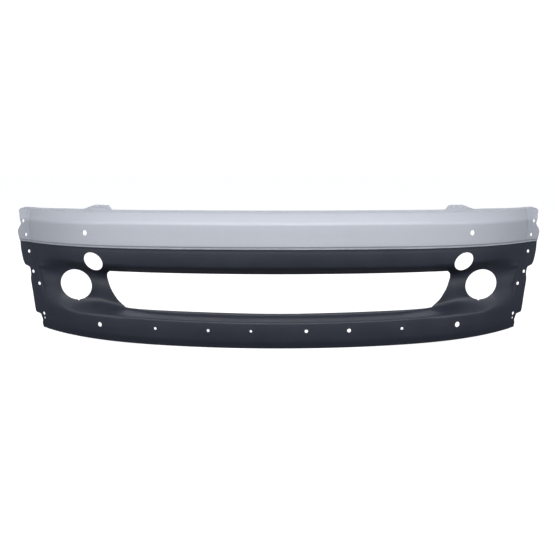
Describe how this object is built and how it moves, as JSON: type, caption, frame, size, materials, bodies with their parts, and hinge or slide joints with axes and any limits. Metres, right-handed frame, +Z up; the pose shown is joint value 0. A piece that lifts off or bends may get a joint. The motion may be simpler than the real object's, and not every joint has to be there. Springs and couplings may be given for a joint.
{
  "type": "truck bumper cover",
  "caption": "Bowed two-tone truck bumper cover with central air opening, round lamp and tow-pin apertures, bolt-flange ends, raised ears and a bolted joint between its mouldings.",
  "frame": {"origin": "bottom centre of the bounding box, on the symmetry plane", "axes": "+X to the right seen from the front, along the width; -Y forwards; +Z up"},
  "size_m": [2.0442, 0.3926, 0.5094],
  "materials": {
    "silver_paint": "satin silver paint on moulded plastic",
    "charcoal_moulding": "satin moulded",
    "rail_steel": "black coated",
    "fastener_zinc": "zinc plated",
    "rivet_aluminium": "plain"
  },
  "bodies": {
    "root": {"upper_cover": "silver_paint", "lower_cover": "charcoal_moulding", "joint_rail_left": "rail_steel", "joint_rail_centre": "rail_steel", "joint_rail_right": "rail_steel", "ear_plate_left": "rail_steel", "ear_plate_right": "rail_steel", "joint_screw_01": "fastener_zinc", "joint_screw_02": "fastener_zinc", "joint_screw_03": "fastener_zinc", "joint_screw_04": "fastener_zinc", "joint_screw_05": "fastener_zinc", "joint_screw_06": "fastener_zinc", "joint_screw_07": "fastener_zinc", "joint_screw_08": "fastener_zinc", "joint_screw_09": "fastener_zinc", "joint_screw_10": "fastener_zinc", "joint_nut_01": "fastener_zinc", "joint_nut_02": "fastener_zinc", "joint_nut_03": "fastener_zinc", "joint_nut_04": "fastener_zinc", "joint_nut_05": "fastener_zinc", "joint_nut_06": "fastener_zinc", "joint_nut_07": "fastener_zinc", "joint_nut_08": "fastener_zinc", "joint_nut_09": "fastener_zinc", "joint_nut_10": "fastener_zinc", "ear_rivet_left_inner": "rivet_aluminium", "ear_rivet_left_outer": "rivet_aluminium", "ear_rivet_right_inner": "rivet_aluminium", "ear_rivet_right_outer": "rivet_aluminium"}
  },
  "joints": []
}
